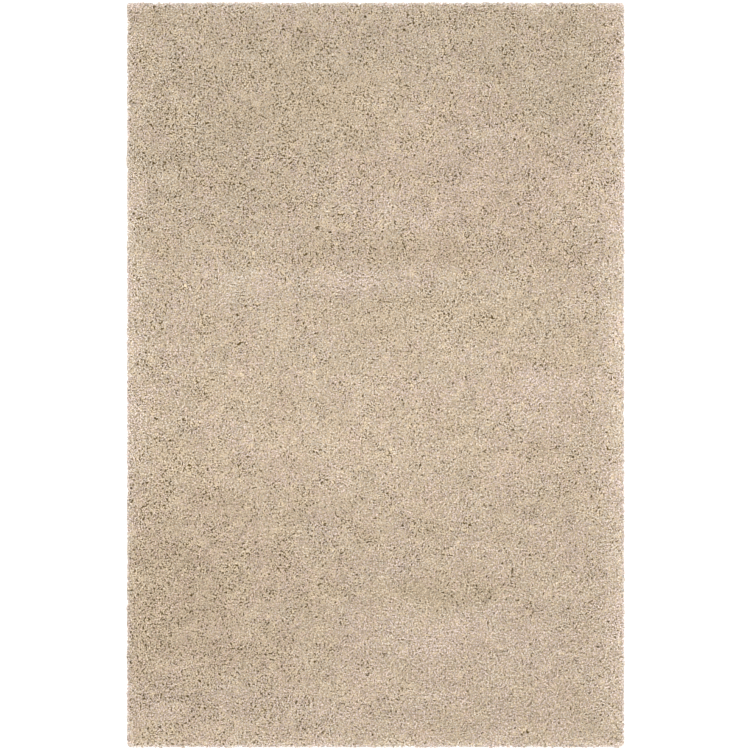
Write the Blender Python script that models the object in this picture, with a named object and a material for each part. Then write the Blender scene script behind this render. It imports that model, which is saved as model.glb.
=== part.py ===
"""Shag rug lying flat, pile up: one lumpy slab of pile with locks of yarn at its rim.

Metres, +Z up. The origin is under the rug's middle, on the floor; +Y runs along its length.
"""

import math
from collections import namedtuple

import bmesh
import bpy
from mathutils import Vector, noise

# Overall size, out to the tips of the longest locks.
RUG_WIDTH = 1.220
RUG_LENGTH = 1.825
RUG_HEIGHT = 0.040

# The slab inside the locks: a lumpy top, a rounded shoulder and a low wall.
LOCK_REACH = 0.017
WALL_HEIGHT = 0.026
SHOULDER_WIDTH = 0.016
SHOULDER_HEIGHT = 0.032
CELLS_ACROSS = 28
CELLS_ALONG = 42
LOCKS_A_CELL = 2

# Each row is one size of lump in the pile: how wide a lump is, how far it lifts or sinks the
# top, and where its pattern starts.
Lump = namedtuple("Lump", "size lift start")
LUMPS = (
    Lump(size=0.300, lift=0.0045, start=2.0),
    Lump(size=0.120, lift=0.0080, start=7.0),
    Lump(size=0.055, lift=0.0055, start=13.0),
)
CELL_DRIFT = 0.008  # how far the points of the top wander off their even grid
WALL_WAVE = 0.003  # how far the top of the wall rises and falls

# A lock narrows and sinks on its way out. The shares are of the lock's reach, of its root's
# width and of its root's height; from the bend out, its underside lies on the floor.
ROOT_GAP = 0.0040  # bare wall between two neighbouring roots
Section = namedtuple("Section", "out width height")
SECTIONS = (
    Section(out=0.50, width=0.80, height=0.74),
    Section(out=1.00, width=0.34, height=0.26),
)

# The locks take these forms in turn around the rim. Lean is how far a tip swings sideways.
Lock = namedtuple("Lock", "reach lean height")
LOCKS = (
    Lock(reach=1.00, lean=0.0020, height=0.86),
    Lock(reach=0.72, lean=-0.0035, height=1.00),
    Lock(reach=0.90, lean=0.0030, height=0.78),
    Lock(reach=0.64, lean=-0.0010, height=0.94),
    Lock(reach=1.00, lean=-0.0030, height=0.70),
    Lock(reach=0.80, lean=0.0040, height=1.00),
    Lock(reach=0.56, lean=0.0005, height=0.84),
    Lock(reach=0.92, lean=-0.0020, height=0.92),
    Lock(reach=0.76, lean=0.0025, height=0.74),
)
CORNER_ZONE = 0.070  # the stretch beside a corner where the locks fan out towards it
CORNER_FAN = 0.90  # how far the last lock swings, as a share of its reach

YARN_COLOUR = (0.55, 0.46, 0.34)
YARN_ROUGHNESS = 0.95
SMOOTH_ANGLE = math.radians(35)  # edges flatter than this are shaded smooth

WALL_HALF = Vector((RUG_WIDTH / 2 - LOCK_REACH, RUG_LENGTH / 2 - LOCK_REACH))
TOP_HALF = WALL_HALF - Vector((SHOULDER_WIDTH, SHOULDER_WIDTH))


def clear_objects():
    for old in list(bpy.data.objects):
        bpy.data.objects.remove(old, do_unlink=True)


def yarn_material():
    material = bpy.data.materials.new("beige_yarn")
    material.use_nodes = True
    shader = material.node_tree.nodes["Principled BSDF"]
    shader.inputs["Base Color"].default_value = (*YARN_COLOUR, 1.0)
    shader.inputs["Roughness"].default_value = YARN_ROUGHNESS
    shader.inputs["Metallic"].default_value = 0.0
    material.diffuse_color = (*YARN_COLOUR, 1.0)
    return material


def lump_lift(x, y):
    """How far the lumps lift the pile's top at a point, without its mean height."""
    return sum(
        lump.lift * noise.noise(Vector((x / lump.size, y / lump.size, lump.start)))
        for lump in LUMPS
    )


def rim_edges(bm):
    return [edge for edge in bm.edges if edge.is_boundary]


def make_top(bm):
    """The lumpy top: an even grid whose points wander, rise and sink with the lumps."""
    bmesh.ops.create_grid(bm, x_segments=CELLS_ACROSS, y_segments=CELLS_ALONG, size=1.0)
    bmesh.ops.scale(bm, vec=(TOP_HALF.x, TOP_HALF.y, 1.0), verts=bm.verts)
    for vert in bm.verts:
        if not vert.is_boundary:
            drift = noise.noise_vector(vert.co / LUMPS[-1].size)
            vert.co += CELL_DRIFT * Vector((drift.x, drift.y, 0.0))
    bmesh.ops.subdivide_edges(bm, edges=rim_edges(bm), cuts=LOCKS_A_CELL - 1)
    for vert in bm.verts:
        vert.co.z = lump_lift(vert.co.x, vert.co.y)
    highest = max(vert.co.z for vert in bm.verts)
    for vert in bm.verts:
        vert.co.z += RUG_HEIGHT - highest
        if vert.is_boundary:
            vert.co.z = SHOULDER_HEIGHT + lump_lift(vert.co.x, vert.co.y) / 2


def extrude_rim(bm):
    """A new ring of points around the rim, where the old ring stands, and the faces to it."""
    ring = bmesh.ops.extrude_edge_only(bm, edges=rim_edges(bm))["geom"]
    verts = [item for item in ring if isinstance(item, bmesh.types.BMVert)]
    faces = [item for item in ring if isinstance(item, bmesh.types.BMFace)]
    return verts, faces


def make_sides(bm):
    """The shoulder, the wall below it and the flat underside. Returns the wall's faces."""
    shoulder_ring, _ = extrude_rim(bm)
    for vert in shoulder_ring:
        vert.co.x *= WALL_HALF.x / TOP_HALF.x
        vert.co.y *= WALL_HALF.y / TOP_HALF.y
        wave = noise.noise(vert.co / LUMPS[-1].size)
        vert.co.z = WALL_HEIGHT + WALL_WAVE * wave
    floor_ring, wall = extrude_rim(bm)
    for vert in floor_ring:
        vert.co.z = 0.0
    underside = bmesh.ops.contextual_create(bm, geom=rim_edges(bm))["faces"]
    bmesh.ops.triangulate(bm, faces=underside, ngon_method="BEAUTY")
    return wall


def around_rim(face):
    """The angle of a wall face about the rug's middle, by which the locks are counted off."""
    centre = face.calc_center_median()
    return math.atan2(centre.y / WALL_HALF.y, centre.x / WALL_HALF.x)


def corner_swing(centre, sideways, reach):
    """How far a lock near a corner swings sideways towards it."""
    along = centre.xy.dot(sideways.xy)
    half = abs(WALL_HALF.dot(sideways.xy))
    near = max(0.0, 1.0 - (half - abs(along)) / CORNER_ZONE)
    return math.copysign(CORNER_FAN * reach * near, along)


def place_section(face, root, section, lock):
    """Moves one cross-section of a lock out from its root to its place."""
    centre, outward, sideways, half_width, height = root
    reach = LOCK_REACH * lock.reach
    swing = lock.lean + corner_swing(centre, sideways, reach)
    middle = centre + outward * reach * section.out + sideways * swing * section.out
    here = face.calc_center_median()
    for vert in face.verts:
        side = math.copysign(1.0, (vert.co - here).dot(sideways))
        above = vert.co.z > here.z
        vert.co = middle + sideways * side * half_width * section.width
        vert.co.z = height * section.height * lock.height if above else 0.0


def root_of(face):
    """A lock's root: its centre, its two level directions, its half width and its top."""
    outward = face.normal.copy()
    sideways = Vector((0.0, 0.0, 1.0)).cross(outward).normalized()
    across = [vert.co.dot(sideways) for vert in face.verts]
    half_width = (max(across) - min(across)) / 2
    height = max(vert.co.z for vert in face.verts)
    return face.calc_center_median(), outward, sideways, half_width, height


def make_locks(bm, wall, number):
    """One lock from each face of the wall, parted from its neighbours at the root.

    Each face keeps its lock's number, because the faces of an extrusion come back in any order.
    """
    wall = sorted(wall, key=around_rim)
    bmesh.ops.inset_individual(bm, faces=wall, thickness=ROOT_GAP / 2, use_even_offset=True)
    roots = [root_of(face) for face in wall]
    for count, face in enumerate(wall):
        face[number] = count
    tips = wall
    for section in SECTIONS:
        tips = bmesh.ops.extrude_discrete_faces(bm, faces=tips)["faces"]
        for face in tips:
            count = face[number]
            place_section(face, roots[count], section, LOCKS[count % len(LOCKS)])


def make_rug():
    bm = bmesh.new()
    number = bm.faces.layers.int.new("lock")
    make_top(bm)
    wall = make_sides(bm)
    bmesh.ops.recalc_face_normals(bm, faces=bm.faces)
    make_locks(bm, wall, number)
    mesh = bpy.data.meshes.new("shag_rug")
    bm.to_mesh(mesh)
    bm.free()
    mesh.shade_smooth()
    mesh.set_sharp_from_angle(angle=SMOOTH_ANGLE)
    mesh.materials.append(yarn_material())
    rug = bpy.data.objects.new("shag_rug", mesh)
    collection = bpy.data.collections.new("Shag rug")
    bpy.context.scene.collection.children.link(collection)
    collection.objects.link(rug)
    return rug


clear_objects()
make_rug()
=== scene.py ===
import math

import bmesh
import bpy
import numpy as np
from mathutils import Matrix, Vector, noise
from mathutils.bvhtree import BVHTree
from mathutils.kdtree import KDTree


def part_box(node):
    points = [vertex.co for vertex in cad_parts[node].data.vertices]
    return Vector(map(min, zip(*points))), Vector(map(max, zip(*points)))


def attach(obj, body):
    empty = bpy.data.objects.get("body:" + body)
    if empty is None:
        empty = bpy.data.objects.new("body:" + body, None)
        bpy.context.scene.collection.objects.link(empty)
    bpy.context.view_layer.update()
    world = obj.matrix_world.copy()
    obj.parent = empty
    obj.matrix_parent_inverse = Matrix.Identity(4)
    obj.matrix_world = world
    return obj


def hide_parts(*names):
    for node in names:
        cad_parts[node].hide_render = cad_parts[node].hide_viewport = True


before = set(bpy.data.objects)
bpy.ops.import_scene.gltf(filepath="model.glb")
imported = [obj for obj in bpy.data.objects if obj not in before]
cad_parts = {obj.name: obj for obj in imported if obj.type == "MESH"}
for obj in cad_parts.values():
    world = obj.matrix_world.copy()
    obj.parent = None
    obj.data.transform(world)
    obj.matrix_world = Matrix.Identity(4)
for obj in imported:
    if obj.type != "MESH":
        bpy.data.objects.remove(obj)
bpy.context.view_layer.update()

# A shag rug lying flat: its woven ground, a dense lower pile, and tens of thousands of bent yarn
# ends on top and down the rim. Sizes are in metres, +Z up, +Y along the rug. The outline and the
# height of the pile come from the solid in the frame.
solidName = "shag_rug"
rugLow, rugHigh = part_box(solidName)
rugWidth = rugHigh.x - rugLow.x
rugLength = rugHigh.y - rugLow.y
rimDepth = 0.017    # how far the woven ground stays inside the yarn tips
wallHalf = np.array((rugWidth / 2 - rimDepth, rugLength / 2 - rimDepth))
print("frame loaded:", round(rugWidth, 3), "by", round(rugLength, 3))


class Wire:
    # one socket of a material's nodes; sums of wires become Math nodes
    def __init__(self, tree, socket=None):
        self.tree = tree
        self.socket = socket

    def node(self, kind, settings=None, sockets=None, output=0):
        made = self.tree.nodes.new("ShaderNode" + kind)
        for name, value in (settings or {}).items():
            if name == "stops":
                self.setStops(made.color_ramp, value)
            else:
                setattr(made, name, value)
        for name, value in (sockets or {}).items():
            if isinstance(value, Wire):
                self.tree.links.new(value.socket, made.inputs[name])
            else:
                made.inputs[name].default_value = value
        return Wire(self.tree, made.outputs[output] if len(made.outputs) else None)

    def setStops(self, ramp, stops):
        while len(ramp.elements) < len(stops):
            ramp.elements.new(1.0)
        for element, (place, colour) in zip(ramp.elements, stops):
            element.position = place
            element.color = (*colour, 1.0)

    def maths(self, operation, first, second=0.0):
        return self.node("Math", {"operation": operation}, {0: first, 1: second})

    def __add__(self, other):
        return self.maths("ADD", self, other)

    def __sub__(self, other):
        return self.maths("SUBTRACT", self, other)

    def __rsub__(self, other):
        return self.maths("SUBTRACT", other, self)

    def __mul__(self, other):
        return self.maths("MULTIPLY", self, other)

    def __truediv__(self, other):
        return self.maths("DIVIDE", self, other)

    def __mod__(self, other):
        return self.maths("MODULO", self, other)

    def __pow__(self, other):
        return self.maths("POWER", self, other)

    __radd__ = __add__
    __rmul__ = __mul__

    def sine(self):
        return self.maths("SINE", self)

    def floor(self):
        return self.maths("FLOOR", self)

    def part(self, axis):
        # the x, y or z of a vector
        return self.node("SeparateXYZ", sockets={"Vector": self}, output="xyz".index(axis))


def newMaterial(name):
    material = bpy.data.materials.new(name)
    material.use_nodes = True
    tree = material.node_tree
    tree.nodes.clear()
    return material, Wire(tree)


def mixColours(wires, factor, first, second):
    colours = {"Factor": factor, 6: (*first, 1), 7: (*second, 1)}
    return wires.node("Mix", {"data_type": "RGBA"}, colours, output=2)


def finishMaterial(wires, sockets):
    shader = wires.node("BsdfPrincipled", sockets=sockets)
    wires.node("OutputMaterial", sockets={"Surface": shader})


def addPiece(name, mesh, material):
    piece = bpy.data.objects.new(name, mesh)
    bpy.context.scene.collection.objects.link(piece)
    mesh.materials.append(material)
    return piece


def toMesh(bm, name):
    bmesh.ops.recalc_face_normals(bm, faces=bm.faces)
    mesh = bpy.data.meshes.new(name)
    bm.to_mesh(mesh)
    bm.free()
    return mesh


def openEdges(bm):
    return [edge for edge in bm.edges if edge.is_boundary]


def gridOf(bm, half, columns):
    # a flat grid of nearly square cells
    rows = int(columns * rugLength / rugWidth)
    bmesh.ops.create_grid(bm, x_segments=columns, y_segments=rows, size=1)
    bmesh.ops.scale(bm, vec=(half[0], half[1], 1), verts=bm.verts)


def placesOf(verts):
    return np.array([vert.co.xy[:] for vert in verts])


def unit(vectors):
    return vectors / np.maximum(np.linalg.norm(vectors, axis=-1, keepdims=True), 1e-9)


def direction(angle):
    return np.stack([np.cos(angle), np.sin(angle)], -1)


def readField(points, strength, size, start):
    # smooth noise at each point, about half its strength either way: the fields in the
    # dictionaries below give a strength, the size of a patch and where the noise starts
    found = [noise.noise(Vector((x / size, y / size, start))) for x, y in points]
    return strength * np.array(found)


# the top of the pile, and how it differs from place to place

pileShape = {
    "margin": 0.001,      # how far inside its wall the top of the solid is read
    "above": 0.1,         # how far above the rug the reading starts
    "fall": 0.62,         # share of its height that the pile loses on its way out to the tips
    "furthest": 1.2,      # where it stops falling, as a share of that way
}

surface = BVHTree.FromObject(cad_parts[solidName], bpy.context.evaluated_depsgraph_get())


def pileTop(points):
    # height of the solid's top under each point; past its wall it falls away to the floor
    edge = wallHalf - pileShape["margin"]
    inside = np.clip(points, -edge, edge)
    above = rugHigh.z + pileShape["above"]
    down = Vector((0, 0, -1))
    heights = [surface.ray_cast(Vector((x, y, above)), down)[0].z for x, y in inside]
    past = np.linalg.norm(points - inside, axis=1) / rimDepth
    past = np.clip(past, 0, pileShape["furthest"])
    return np.array(heights) * (1 - pileShape["fall"] * past ** 2.0)


# Broad patches where the nap lies another way, as seen from above. Places and sizes are shares of
# the rug, x from its left side and y from its top: x, y, half width, half height, then how much
# lighter, cooler, greener and more ragged the yarn looks there. How much lighter is painted light
# and shade, for how the light falls on the nap.
patches = (
    (0.50, 0.03, 0.60, 0.06, -0.4, 1.0, 0.1, 0.2),
    (0.15, 0.18, 0.28, 0.14, -0.35, 0.5, 0.3, 0.5),
    (0.38, 0.14, 0.12, 0.05, -0.1, -0.6, 1.0, 0.1),
    (0.86, 0.11, 0.14, 0.07, -0.4, 0.6, 0.3, 0.0),
    (0.70, 0.23, 0.24, 0.07, 0.1, -0.1, -0.7, 0.1),
    (0.55, 0.28, 0.12, 0.03, 0.5, 0.0, 0.0, 0.0),
    (0.60, 0.34, 0.35, 0.015, -0.4, -0.3, -0.1, 0.4),
    (0.45, 0.375, 0.55, 0.018, 0.3, 0.3, -0.1, -0.3),
    (0.25, 0.38, 0.10, 0.04, 0.6, 0.6, 0.0, -0.2),
    (0.68, 0.42, 0.20, 0.025, 0.1, 0.0, 1.2, 0.0),
    (0.50, 0.52, 0.50, 0.10, 0.35, -0.1, 0.2, -0.3),
    (0.38, 0.61, 0.35, 0.05, 0.35, -0.3, 0.1, -0.1),
    (0.84, 0.52, 0.12, 0.03, 0.4, 0.3, -0.8, -0.3),
    (0.10, 0.80, 0.24, 0.16, -0.6, -0.7, 0.0, 0.5),
    (0.62, 0.79, 0.20, 0.02, -0.5, -0.6, 0.6, 0.1),
    (0.64, 0.85, 0.14, 0.03, 0.5, 0.0, -0.4, -0.4),
    (0.12, 0.94, 0.24, 0.03, 0.1, 1.0, -0.5, 0.2),
    (0.75, 0.88, 0.35, 0.18, -0.1, 0.3, -0.2, -0.7),
    (0.00, 0.40, 0.04, 0.30, 0.7, 1.4, 0.0, 0.0),
    (1.00, 0.45, 0.05, 0.50, 1.1, 1.6, 0.1, -0.3),
)
roughField = (1.6, 0.05, 61.0)    # smaller ragged and smooth places among them


def readPatches(places):
    # how much lighter (painted light and shade of the nap), cooler, greener and more ragged the
    # yarn looks at each place
    x = places[:, 0] / rugWidth + 0.5
    y = 0.5 - places[:, 1] / rugLength
    found = np.zeros((len(places), 4))
    for across, down, wide, tall, *amounts in patches:
        near = np.exp(-((x - across) / wide) ** 2 - ((y - down) / tall) ** 2)
        found += near[:, None] * amounts
    return found


def readRough(places):
    # 0 where the yarns lie flat and close together, 1 where they stand up ragged
    ragged = 0.5 + readField(places, *roughField)
    return np.clip(ragged + readPatches(places)[:, 3], 0, 1)


# the woven ground

ground = {
    "thickness": 0.0032,
    "lift": 0.0004,       # underside above the floor
    "cells": 36,
    "warp": 0.0042,       # spacing of the woven threads
    "colour": (0.42, 0.36, 0.28),
    "shadow": 0.62,       # colour between the threads, as a share of theirs
    "threadDepth": 0.25,  # how deep the weave is, as a share of the spacing
    "bump": 0.8,
    "fluff": 900.0,       # how fine the fibres on the threads are
    "fluffDetail": 3.0,
    "fluffShare": 0.2,    # how much of the shade the fibres give
    "roughness": 0.85,
    "roughnessFluff": 0.1,
    "specular": 0.2,
}


def groundMaterial():
    material, wires = newMaterial("wovenGround")
    place = wires.node("TexCoord", output=3)
    turn = math.tau / ground["warp"]
    x = place.part("x") * turn
    y = place.part("y") * turn
    weave = 0.5 + 0.25 * (x.sine() * (y / 2).sine() + y.sine() * (x / 2).sine())
    fibres = {"Vector": place, "Scale": ground["fluff"], "Detail": ground["fluffDetail"]}
    fluff = wires.node("TexNoise", sockets=fibres)
    shade = weave * (1 - ground["fluffShare"]) + fluff * ground["fluffShare"]
    dark = tuple(channel * ground["shadow"] for channel in ground["colour"])
    depth = ground["warp"] * ground["threadDepth"]
    relief = {"Height": weave, "Distance": depth, "Strength": ground["bump"]}
    finishMaterial(wires, {
        "Base Color": mixColours(wires, shade, dark, ground["colour"]),
        "Roughness": ground["roughness"] + ground["roughnessFluff"] * fluff,
        "Normal": wires.node("Bump", sockets=relief),
        "Specular IOR Level": ground["specular"],
    })
    return material


def makeGround():
    bm = bmesh.new()
    gridOf(bm, wallHalf, ground["cells"])
    bmesh.ops.solidify(bm, geom=bm.faces[:], thickness=ground["thickness"])
    lowest = min(vert.co.z for vert in bm.verts)
    bmesh.ops.translate(bm, vec=(0, 0, ground["lift"] - lowest), verts=bm.verts)
    print("woven ground:", ground["thickness"], "thick")
    return addPiece("woven_ground", toMesh(bm, "woven_ground"), groundMaterial())


# the dense lower part of the pile, which shows only in the gaps between the ends

underpile = {
    "cells": 96,
    "reach": 0.0080,      # how far its foot stands past the ground's edge
    "depth": 0.0087,      # its top below the top of the pile
    "lumps": (0.0060, 0.016, 51.0),
    "colour": (0.740, 0.606, 0.436),
    "dark": (0.084, 0.055, 0.015),    # painted shade in the gaps between its yarns
    "tuft": 0.0095,       # patches in which its yarns lie one way
    "yarn": 0.0034,       # spacing of its yarns
    "bend": 0.0050,       # how far its yarns wander
    "edge": 5.0,          # how fast a yarn rises from the edge of its patch
    "creaseShade": 0.42,       # how dark the painted shade is between two of its yarns
    "creaseFall": 2.0,    # higher makes these creases narrower
    "spread": 0.10,       # how far its yarns differ in shade
    "numbers": 97,        # sets the shades in one patch apart from those in the next
    "holes": 0.0038,      # spacing of the holes, which are painted dark as shade
    "gap": 0.595,         # where a hole starts
    "gapFade": 0.3,       # how far it is from there to its full dark
    "gapRough": 0.16,     # how much wider the holes are where the yarns are ragged
    "gapFluff": 0.25,     # how much the fibres break up the edge of a hole
    "fluff": 420.0,       # how fine the fibres are
    "fluffDetail": 2.0,
    "bumpDepth": 0.0016,
    "bumpFluff": 0.2,     # how much of the bump the fibres give
    "roughness": 0.84,
    "roughnessFluff": 0.12,
    "specular": 0.15,
    "nap": 0.12,          # how much lighter the light patches are, painted light and shade of the nap
}


def underpileMaterial():
    # yarns laid side by side in small patches, each its own way, with holes between them painted
    # dark as shade
    material, wires = newMaterial("denseYarn")
    flat = wires.node("TexCoord", output=3)
    nap = wires.node("Attribute", {"attribute_name": "nap"}, output=2)
    ragged = wires.node("Attribute", {"attribute_name": "ragged"}, output=2)
    fibres = {"Vector": flat, "Scale": underpile["fluff"], "Detail": underpile["fluffDetail"]}
    fluff = wires.node("TexNoise", sockets=fibres)

    # each patch has its own direction, and its yarns wander a little
    tuft = 1 / underpile["tuft"]
    drift = wires.node("TexNoise", sockets={"Vector": flat, "Scale": tuft}, output=1)
    drift = wires.node("VectorMath", {"operation": "SCALE"}, {0: drift, "Scale": underpile["bend"]})
    place = wires.node("VectorMath", {"operation": "ADD"}, {0: flat, 1: drift})
    size = {"Vector": place, "Scale": tuft}
    chosen = wires.node("TexVoronoi", sockets=size, output=1).part("x")
    border = wires.node("TexVoronoi", {"feature": "DISTANCE_TO_EDGE"}, size)
    turned = {"Vector": place, "Angle": chosen * math.tau}
    laid = wires.node("VectorRotate", {"rotation_type": "Z_AXIS"}, turned)
    across = laid.part("x") / underpile["yarn"]
    ridge = wires.maths("ABSOLUTE", (across * math.pi).sine())
    solid = wires.maths("MINIMUM", ridge, border * underpile["edge"])

    # every yarn has its own shade, over the painted light and shade of the nap
    number = {"W": across.floor() + chosen * underpile["numbers"]}
    tone = wires.node("TexWhiteNoise", {"noise_dimensions": "1D"}, number)
    lit = nap * (1 - underpile["spread"] + 2 * underpile["spread"] * tone)

    # painted shade in the holes between the yarns, wider where the pile is ragged, and in the
    # creases beside each yarn
    hole = wires.node("TexVoronoi", sockets={"Vector": flat, "Scale": 1 / underpile["holes"]})
    start = underpile["gap"] - underpile["gapRough"] * (ragged - 0.5)
    deep = {0: hole + underpile["gapFluff"] * fluff, 1: start, 2: start + underpile["gapFade"]}
    shadedPit = wires.node("MapRange", sockets=deep)
    creaseShade = underpile["creaseShade"] * (1 - solid) ** underpile["creaseFall"]
    shadedPit = wires.maths("MAXIMUM", shadedPit, creaseShade)

    colour = mixColours(wires, shadedPit, underpile["colour"], underpile["dark"])
    colour = wires.node("VectorMath", {"operation": "SCALE"}, {0: colour, "Scale": lit})
    height = fluff * underpile["bumpFluff"] + solid * (1 - underpile["bumpFluff"]) - shadedPit
    relief = {"Height": height, "Distance": underpile["bumpDepth"]}
    finishMaterial(wires, {
        "Base Color": colour,
        "Roughness": underpile["roughness"] + underpile["roughnessFluff"] * fluff,
        "Normal": wires.node("Bump", sockets=relief),
        "Specular IOR Level": underpile["specular"],
    })
    return material


def makeUnderpile():
    bm = bmesh.new()
    gridOf(bm, wallHalf + underpile["reach"], underpile["cells"])
    places = placesOf(bm.verts)
    tops = pileTop(places) - underpile["depth"] + readField(places, *underpile["lumps"])
    tops = np.maximum(tops, ground["lift"] + ground["thickness"])
    for vert, top in zip(bm.verts, tops):
        vert.co.z = top
    fallen = bmesh.ops.extrude_edge_only(bm, edges=openEdges(bm))["geom"]
    for vert in fallen:
        if isinstance(vert, bmesh.types.BMVert):
            vert.co.z = ground["lift"] + ground["thickness"] / 2
    bmesh.ops.holes_fill(bm, edges=openEdges(bm), sides=0)
    mesh = toMesh(bm, "dense_underpile")
    mesh.shade_smooth()
    places = placesOf(mesh.vertices)
    # painted light and shade of the nap, from the broad patches
    nap = mesh.attributes.new("nap", "FLOAT", "POINT")
    nap.data.foreach_set("value", 1 + underpile["nap"] * readPatches(places)[:, 0])
    ragged = mesh.attributes.new("ragged", "FLOAT", "POINT")
    ragged.data.foreach_set("value", readRough(places))
    print("lower pile:", len(places), "points")
    return addPiece("dense_underpile", mesh, underpileMaterial())


# the yarn ends

yarn = {
    "sides": 3,
    "steps": 3,
    "radius": 0.0016,     # of one twisted yarn
    "thin": 0.82,         # thinnest and thickest yarns, as shares
    "thick": 1.12,
    "tip": 0.72,          # radius at the cut end, as a share
    "taper": 3,           # higher keeps a yarn's full radius for longer
    "twist": 1.1,         # how far the yarn's ridges turn from root to tip, in radians
}

pile = {
    "spacing": 0.0065,    # between neighbouring ends
    "jitter": 1.12,       # share of the spacing
    "bands": 6,           # pieces side by side, so that none is too heavy
    "run": 0.0105,        # how far a bent end runs level
    "runSpread": 0.45,
    "rise": 0.0018,       # how far the root stands back from the bend
    "rootSpread": 0.004,  # how unevenly the roots stand
    "rootMargin": 0.002,  # how far the roots stay inside the ground's edge
    "rooted": 0.0120,     # how far the roots go down into the pile
    "sink": 0.0056,       # how far the lower ends stay under the top of the pile
    "sinkFall": 1.5,      # higher leaves fewer ends low down
    "droop": 0.0040,      # how far a bent end hangs below its own top
    "bendDroop": (0, 0.8),    # least and most share of the droop at the bend and at the tip
    "tipDroop": (-0.4, 1),
    "curl": 0.0022,       # how far a bent end curls to one side
    "lock": 0.026,        # spacing of the locks that the yarns gather in
    "gather": 0.10,       # how much of the way to its lock's middle a tip goes
    "lockSink": 0.0010,
    "lockPull": 0.4,      # how strongly yarns lean with their lock, against leaning at random
    "napPull": 0.9,       # how strongly they follow the nap
    "napTurn": (8, 0.07, 3.0),        # which way the nap leans, in radians
    "broadTurn": (5, 0.21, 9.0),
    "edge": 0.020,        # how far from the edge the yarns lean outwards
    "edgePull": 0.8,
    "seed": 7,
}

rim = {
    "spacing": 0.0068,
    "layers": 4,          # layers of yarn ends down the side
    "inset": 0.003,       # how far inside the ground's edge they start
    "reach": 0.0165,
    "drop": 0.9,          # how far down its side they go, as a share of the height
    "outPull": 0.9,       # how strongly they lean outwards, and at random
    "strayPull": 0.8,
    "ragged": 0.0024,     # how unevenly the tips end at the outline
    "outline": (0.8, 0.03, 71.0),     # the part of that which neighbours share
    "corner": 0.014,      # radius of the outline's corners
    "pale": 0.008,        # width of the paler, cooler edge
    "light": 1.0,
    "cool": 1.0,
    "seed": 23,
}

tones = {
    "levels": 16,         # shades from dark to light
    "dyes": 4,
    "spread": 0.17,       # how far the darkest and lightest shades are from the middle
    "nap": 0.38,          # share of the shade that the patches give; the broad ones paint the nap's light and shade
    "light": (0.6, 0.07, 37.0),       # smaller patches
    "streaks": (0.5, 0.04, 31.0),     # and streaks across the rug
    "streakShape": (0.3, 1),          # drawn out across its width
    "grain": 0.03,        # share that differs from yarn to yarn
    "grainLight": 0.45,   # the lightest of these, and how much darker the darkest is
    "grainFall": 1.35,
    "hueNap": 2.10,       # how strongly the patches choose between the dyes
    "green": (0.7, 0.09, 41.0),
    "fineGreen": (0.8, 0.03, 45.0),
    "cool": (0.8, 0.09, 43.0),
    "greenWarm": 0.3,     # how much warmer the greener yarn is
    "margin": 0.12,       # unused edge of each strip of the map
}


def yarnMaterial():
    look = {
        "warmPink": (0.640, 0.532, 0.469),
        "warmOlive": (0.634, 0.552, 0.457),
        "coolPink": (0.622, 0.532, 0.491),
        "coolOlive": (0.616, 0.552, 0.479),
        "rootShade": 0.90,     # colour at the root, as a share of the tip's
        "rootFall": 0.8,
        "shadeFall": (1.0, 1.13, 1.50),     # dark yarn is browner: its green and blue fall faster
        "creaseFall": (1.0, 1.33, 2.00),    # and faster still in the painted shade down in the creases
        "plyTurns": 3.2,       # turns of the ply from root to tip
        "creaseShading": 0.52,   # how dark the painted shade in the creases between its plies is
        "creaseWidth": 3.2,    # higher makes them narrower
        "roughness": 0.86,
        "roughnessPly": 0.08,
        "sheen": 0.12,
        "sheenRoughness": 0.5,
        "specular": 0.15,
    }
    material, wires = newMaterial("beigeYarn")
    place = wires.node("UVMap", {"uv_map": "OFBake"})
    along = place.part("y")

    # the strip of the map says which shade and dye a yarn has
    across = place.part("x") * (tones["levels"] * tones["dyes"])
    strip = across.floor()
    around = across - strip
    level = (strip % tones["levels"]) / (tones["levels"] - 1)
    hue = (strip / tones["levels"]).floor() / (tones["dyes"] - 1)
    dyes = [look[name] for name in ("warmPink", "warmOlive", "coolPink", "coolOlive")]
    stops = [(number / (len(dyes) - 1), dye) for number, dye in enumerate(dyes)]
    dye = wires.node("ValToRGB", {"stops": stops}, {"Fac": hue})
    shade = 1 + tones["spread"] * (level * 2 - 1)

    # painted shade: darker towards the root and in the creases that wind around it
    depth = look["rootShade"] + (1 - look["rootShade"]) * along ** look["rootFall"]
    ply = ((along * look["plyTurns"] + around) * math.tau).sine()
    creaseShade = (0.5 - 0.5 * ply) ** look["creaseWidth"]
    paintedShade = depth * (1 - look["creaseShading"] * creaseShade)
    falls = zip("XYZ", look["shadeFall"], look["creaseFall"])
    tint = {axis: shade ** shadeFall * paintedShade ** creaseFall for axis, shadeFall, creaseFall in falls}
    tint = wires.node("CombineXYZ", sockets=tint)
    finishMaterial(wires, {
        "Base Color": wires.node("VectorMath", {"operation": "MULTIPLY"}, {0: dye, 1: tint}),
        "Roughness": look["roughness"] - look["roughnessPly"] * ply,
        "Sheen Weight": look["sheen"],
        "Sheen Roughness": look["sheenRoughness"],
        "Specular IOR Level": look["specular"],
    })
    return material


def makeYarnPattern():
    # one closed yarn, a step high for each ring, that every tuft is bent from; its root, which
    # is hidden in the pile, is drawn to a point
    bm = bmesh.new()
    lift = Matrix.Translation((0, 0, 0.5))
    bmesh.ops.create_cone(
        bm, cap_ends=True, segments=yarn["sides"], radius1=0, radius2=1, depth=1, matrix=lift
    )
    bmesh.ops.remove_doubles(bm, verts=bm.verts, dist=0.001)
    for step in range(yarn["steps"] - 1):
        top = [face for face in bm.faces if min(vert.co.z for vert in face.verts) > step + 0.5]
        risen = bmesh.ops.extrude_discrete_faces(bm, faces=top)["faces"]
        verts = [vert for face in risen for vert in face.verts]
        bmesh.ops.translate(bm, vec=(0, 0, 1), verts=verts)
    bmesh.ops.recalc_face_normals(bm, faces=bm.faces)
    bm.verts.index_update()
    points = np.array([vert.co[:] for vert in bm.verts])
    faces = [[vert.index for vert in face.verts] for face in bm.faces]
    bm.free()
    return points, faces


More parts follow.
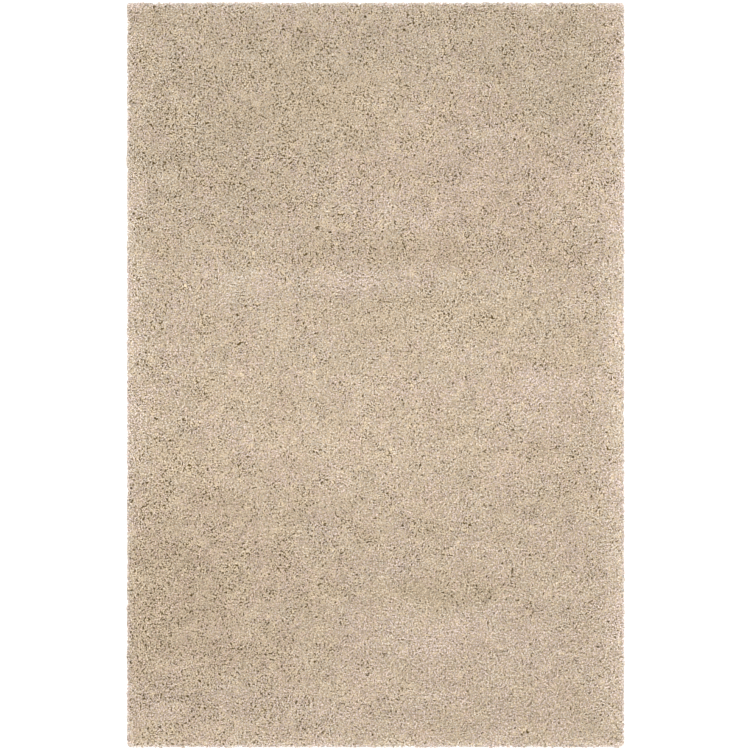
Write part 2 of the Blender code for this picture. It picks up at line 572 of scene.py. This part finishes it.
def strew(low, high, spacing, rng):
    # places on a grid, each moved a little at random
    counts = np.maximum(((high - low) / spacing).astype(int), 1)
    x = low[0] + (np.arange(counts[0]) + 0.5) / counts[0] * (high[0] - low[0])
    y = low[1] + (np.arange(counts[1]) + 0.5) / counts[1] * (high[1] - low[1])
    places = np.stack(np.meshgrid(x, y), -1).reshape(-1, 2)
    return places + rng.uniform(-0.5, 0.5, places.shape) * pile["jitter"] * spacing


def gatherLocks(places, rng):
    # the lock each yarn belongs to: where it stands, which way it leans, how low it lies
    middles = strew(-wallHalf - pile["lock"], wallHalf + pile["lock"], pile["lock"], rng)
    tree = KDTree(len(middles))
    for index, (x, y) in enumerate(middles):
        tree.insert((x, y, 0), index)
    tree.balance()
    nearest = np.array([tree.find((x, y, 0))[1] for x, y in places])
    turn = rng.uniform(0, math.tau, len(middles))
    sink = rng.uniform(0, 1, len(middles)) ** 2
    return middles[nearest], turn[nearest], sink[nearest]


def outwardFrom(places):
    # how near each place is to the rug's edge, from 0 to 1, and which way is out
    width = pile["edge"]
    room = wallHalf - np.abs(places)
    edge = np.min(room, axis=1)
    out = np.where(room < width, np.sign(places) * (1 - room / width), 0)
    return np.clip(1 - edge / width, 0, 1), unit(out)


def chooseRuns(count, rng):
    return pile["run"] * (1 + pile["runSpread"] * rng.uniform(-1, 1, count))


def growPile(rng):
    # where each yarn stands, which way and how far it runs, how low it lies and how far its
    # lock pulls its tip
    places = strew(-wallHalf, wallHalf, pile["spacing"], rng)
    count = len(places)
    middles, lockTurn, lockSink = gatherLocks(places, rng)
    napTurn = readField(places, *pile["napTurn"]) + readField(places, *pile["broadTurn"])
    heading = pile["napPull"] * direction(napTurn) + pile["lockPull"] * direction(lockTurn)
    heading += direction(rng.uniform(0, math.tau, count))
    near, out = outwardFrom(places)
    heading = unit(unit(heading) + out * pile["edgePull"] * near[:, None])
    run = chooseRuns(count, rng)
    low = pile["sink"] * rng.uniform(0, 1, count) ** pile["sinkFall"] + pile["lockSink"] * lockSink
    low *= 0.5 + readRough(places)
    pull = (middles - places) * pile["gather"]
    return places, heading, run, low, pull


def keepWithin(points, outer):
    # draws points that are past the rug's outline, with its rounded corners, back to it
    inner = outer - rim["corner"]
    held = np.clip(points, -inner, inner)
    past = points - held
    far = np.linalg.norm(past, axis=1, keepdims=True)
    return held + past * np.minimum(1, rim["corner"] / np.maximum(far, 1e-6))


def bendYarns(places, heading, run, low, pull, rng):
    # the middle line of each yarn: up out of the pile, over, and along to its cut end
    count = len(places)
    radius = yarn["radius"]
    side = np.stack([-heading[:, 1], heading[:, 0]], -1)
    side = side * (pile["curl"] * rng.uniform(-1, 1, count))[:, None]
    half = heading * run[:, None] / 2
    bend = places - half - side
    middle = places + side
    tip = places + half - side + pull
    stray = rng.uniform(-0.5, 0.5, places.shape) * pile["rootSpread"]
    root = bend - heading * pile["rise"] + stray
    ragged = rng.uniform(-0.5, 1, count) + readField(places, *rim["outline"])
    ragged = rim["ragged"] * ragged
    outer = np.array((rugWidth, rugLength)) / 2 - radius - ragged[:, None]
    tip = keepWithin(tip, outer)
    middle = keepWithin(middle, outer)
    bend = keepWithin(bend, outer)
    inner = wallHalf - pile["rootMargin"]
    root = np.clip(root, -inner, inner)
    lines = np.zeros((count, 4, 3))
    for ring, place in enumerate((root, bend, middle, tip)):
        lines[:, ring, :2] = place
        lines[:, ring, 2] = pileTop(place) - low - radius
    lines[:, 0, 2] -= pile["rooted"]
    lines[:, 1, 2] -= pile["droop"] * rng.uniform(*pile["bendDroop"], count)
    lines[:, 3, 2] -= pile["droop"] * rng.uniform(*pile["tipDroop"], count)
    lines[:, :, 2] = np.maximum(lines[:, :, 2], ground["lift"] + radius)
    return lines


def ringFrames(lines):
    # two directions across each yarn at each ring, carried along without turning
    tangents = unit(np.gradient(lines, axis=1))
    aside = np.array([0.3, 1.0, 0.2])    # any direction that yarns seldom have
    across = unit(np.cross(tangents[:, 0], aside))
    frames = []
    for ring in range(lines.shape[1]):
        tangent = tangents[:, ring]
        across = unit(across - tangent * np.sum(across * tangent, 1, keepdims=True))
        frames.append((across, np.cross(tangent, across)))
    return frames


def setAround(lines, points, angle, ringOf, rng):
    # the pattern's points, set around the middle line of each yarn
    count = len(lines)
    wide = np.hypot(points[:, 0], points[:, 1])
    start = rng.uniform(0, math.tau, count)
    frames = ringFrames(lines)
    thick = yarn["radius"] * rng.uniform(yarn["thin"], yarn["thick"], count)
    verts = np.zeros((count, len(points), 3))
    for index in range(len(points)):
        ring = ringOf[index]
        far = ring / yarn["steps"]
        share = wide[index] * (1 - (1 - yarn["tip"]) * far ** yarn["taper"])
        turn = angle[index] + start + yarn["twist"] * ring / yarn["steps"]
        across, over = frames[ring]
        offset = across * np.cos(turn)[:, None] + over * np.sin(turn)[:, None]
        verts[:, index] = lines[:, ring] + offset * (thick * share)[:, None]
    verts[:, :, 2] = np.maximum(verts[:, :, 2], ground["lift"])
    return verts


def joinYarns(name, verts, faces):
    # one mesh of all the yarns, each with the pattern's faces
    count, perYarn = verts.shape[:2]
    loops = np.concatenate([np.array(face) for face in faces])
    sizes = np.array([len(face) for face in faces])
    mesh = bpy.data.meshes.new(name)
    mesh.vertices.add(count * perYarn)
    mesh.vertices.foreach_set("co", verts.ravel())
    mesh.loops.add(count * len(loops))
    allLoops = (loops[None] + np.arange(count)[:, None] * perYarn).ravel()
    mesh.loops.foreach_set("vertex_index", allLoops.astype(np.int32))
    mesh.polygons.add(count * len(sizes))
    starts = np.concatenate([[0], np.cumsum(sizes)[:-1]])
    allStarts = (starts[None] + np.arange(count)[:, None] * len(loops)).ravel()
    mesh.polygons.foreach_set("loop_start", allStarts.astype(np.int32))
    mesh.update(calc_edges=True)
    mesh.shade_smooth()
    return mesh


def layYarnMap(mesh, faces, angle, ringOf, level, dye):
    # across: the strip of the yarn's shade; along: from root to tip
    cutEnd = {"wide": 0.35, "below": 0.015, "deep": 0.012}    # its small patch near the tip
    turns = angle % math.tau / math.tau
    around, along = [], []
    for face in faces:
        if len(set(ringOf[face])) == 1:
            middle = 1 - cutEnd["below"]
            around += [0.5 + cutEnd["wide"] * math.cos(angle[v]) for v in face]
            along += [middle - cutEnd["deep"] * math.sin(angle[v]) for v in face]
            continue
        sides = [v for v in face if ringOf[v]]
        wraps = max(turns[sides]) - min(turns[sides]) > 0.5
        place = {v: turns[v] + (wraps and turns[v] < 0.5) for v in sides}
        middle = sum(place.values()) / len(place)
        around += [place.get(v, middle) for v in face]
        along += [ringOf[v] / yarn["steps"] for v in face]
    around, along = np.array(around), np.array(along)
    around = (around - around.min()) / (around.max() - around.min())
    strips = tones["levels"] * tones["dyes"]
    strip = dye * tones["levels"] + level
    u = (strip[:, None] + tones["margin"] + (1 - 2 * tones["margin"]) * around) / strips
    v = np.broadcast_to(along, u.shape)
    layer = mesh.uv_layers.new(name="OFBake")
    layer.data.foreach_set("uv", np.stack([u, v], -1).ravel())


def yarnMesh(name, lines, level, dye, rng):
    points, faces = makeYarnPattern()
    angle = np.arctan2(points[:, 1], points[:, 0])
    ringOf = np.rint(points[:, 2]).astype(int)
    verts = setAround(lines, points, angle, ringOf, rng)
    mesh = joinYarns(name, verts, faces)
    layYarnMap(mesh, faces, angle, ringOf, level, dye)
    mesh.validate()
    return mesh


def yarnTones(places, rng):
    # which shade and dye each yarn has: broad patches, smaller ones and a grain from yarn to yarn
    count = len(places)
    # the broad patches' lightness is painted light and shade of the nap
    light, cool, green = readPatches(places)[:, :3].T
    beyond = np.clip(np.max(np.abs(places) - wallHalf, axis=1) / rim["pale"], 0, 1)
    light += rim["light"] * beyond
    cool += rim["cool"] * beyond
    light += readField(places, *tones["light"])
    light += readField(places * tones["streakShape"], *tones["streaks"])
    ragged = 0.5 + readRough(places)
    grain = tones["grainLight"] - tones["grainFall"] * rng.uniform(0, 1, count) ** 2
    shade = tones["nap"] * light + tones["grain"] * ragged * grain
    green += readField(places, *tones["green"])
    green += readField(places, *tones["fineGreen"])
    cool = cool - tones["greenWarm"] * green + readField(places, *tones["cool"])
    isCool = rng.uniform(-1, 1, count) < tones["hueNap"] * cool
    isOlive = rng.uniform(-1, 1, count) < tones["hueNap"] * green
    level = np.clip(np.rint((0.5 + shade) * (tones["levels"] - 1)), 0, tones["levels"] - 1)
    return level, isCool * 2 + isOlive


def makePile(material):
    rng = np.random.default_rng(pile["seed"])
    places, heading, run, low, pull = growPile(rng)
    lines = bendYarns(places, heading, run, low, pull, rng)
    level, dye = yarnTones(places, rng)
    band = ((places[:, 0] + wallHalf[0]) / (2 * wallHalf[0]) * pile["bands"]).astype(int)
    band = np.clip(band, 0, pile["bands"] - 1)
    pieces = []
    for number in range(pile["bands"]):
        here = band == number
        name = f"pile_{number + 1}"
        mesh = yarnMesh(name, lines[here], level[here], dye[here], rng)
        pieces.append(addPiece(name, mesh, material))
    print("pile:", len(places), "yarns")
    return pieces


def strewRim(rng):
    # places along the four sides, and how many layers down each of them lies
    outer = wallHalf + rim["reach"]
    places, layer = [], []
    for number in range(rim["layers"]):
        for axis in (0, 1):
            for sign in (-1, 1):
                low, high = -outer, outer.copy()
                if sign > 0:
                    low[axis] = wallHalf[axis] - rim["inset"]
                else:
                    high[axis] = rim["inset"] - wallHalf[axis]
                places.append(strew(low, high, rim["spacing"], rng))
                layer.append(np.full(len(places[-1]), number))
    return np.concatenate(places), np.concatenate(layer)


def makeRim(material):
    # yarn ends that fall outwards over the edge of the ground, in layers down its side
    rng = np.random.default_rng(rim["seed"])
    places, layer = strewRim(rng)
    count = len(places)
    out = outwardFrom(places)[1]
    stray = direction(rng.uniform(0, math.tau, count))
    heading = unit(unit(out) * rim["outPull"] + stray * rim["strayPull"])
    run = chooseRuns(count, rng)
    low = pileTop(places) * layer / rim["layers"] * rim["drop"]
    low += pile["sink"] * rng.uniform(0, 1, count)
    lines = bendYarns(places, heading, run, low, places * 0, rng)
    level, dye = yarnTones(places, rng)
    mesh = yarnMesh("rim_locks", lines, level, dye, rng)
    print("rim:", count, "yarns")
    return addPiece("rim_locks", mesh, material)


# the studio and the camera

studio = {
    "dome": 1.68,         # brightness of the white all around
    "sun": 1.5,
    "softness": 50,       # how wide the sun looks, how far it stands from straight above and
    "tilt": 10,           # how it is turned, all in degrees
    "turn": 35,
    "floor": 60.0,
    "floorColour": (0.9, 0.9, 0.9, 1),
    "floorRoughness": 0.9,
}

photo = {
    "pixels": 750,
    "left": 125.9,        # where the tips of the rug's yarns stand in the photo, in pixels
    "right": 625.5,
    "top": 2.1,
    "bottom": 748.1,
    "lens": 200.0,
    "sight": 100,         # how far the camera sees
}


def makeStudio():
    scene = bpy.context.scene
    scene.view_settings.view_transform = "Standard"
    world = bpy.data.worlds.new("studio")
    world.use_nodes = True
    world.node_tree.nodes["Background"].inputs["Color"].default_value = (1, 1, 1, 1)
    world.node_tree.nodes["Background"].inputs["Strength"].default_value = studio["dome"]
    scene.world = world
    sun = bpy.data.lights.new("softSun", "SUN")
    sun.energy = studio["sun"]
    sun.angle = math.radians(studio["softness"])
    sunObject = bpy.data.objects.new("softSun", sun)
    sunObject.rotation_euler = (math.radians(studio["tilt"]), 0, math.radians(studio["turn"]))
    scene.collection.objects.link(sunObject)
    bm = bmesh.new()
    bmesh.ops.create_grid(bm, x_segments=1, y_segments=1, size=studio["floor"] / 2)
    material, wires = newMaterial("paleFloor")
    finishMaterial(wires, {
        "Base Color": studio["floorColour"],
        "Roughness": studio["floorRoughness"],
        "Specular IOR Level": 0.0,
    })
    addPiece("floor", toMesh(bm, "floor"), material)


def makeCamera():
    # straight above, so far up and so placed that the yarn tips stand where the photo has them
    camera = bpy.data.cameras.new("above")
    camera.lens = photo["lens"]
    camera.clip_end = photo["sight"]
    pixel = rugWidth / (photo["right"] - photo["left"])
    seen = pixel * photo["pixels"]
    middleX = ((photo["left"] + photo["right"]) / 2 - photo["pixels"] / 2) * pixel
    middleY = ((photo["top"] + photo["bottom"]) / 2 - photo["pixels"] / 2) * pixel
    height = seen * photo["lens"] / camera.sensor_width
    cameraObject = bpy.data.objects.new("above", camera)
    cameraObject.location = (-middleX, middleY, height + rugHigh.z / 2)
    bpy.context.scene.collection.objects.link(cameraObject)
    bpy.context.scene.camera = cameraObject


makeStudio()
makeCamera()
print("studio and camera ready")
yarnLook = yarnMaterial()
groundPiece = makeGround()
pilePieces = [makeUnderpile()] + makePile(yarnLook) + [makeRim(yarnLook)]
for piece in [groundPiece] + pilePieces:
    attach(piece, "root")
    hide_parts(solidName)
total = 0
for piece in [groundPiece] + pilePieces:
    triangles = sum(len(face.vertices) - 2 for face in piece.data.polygons)
    total += triangles
    print(piece.name, triangles, "triangles")
print("in all:", total)
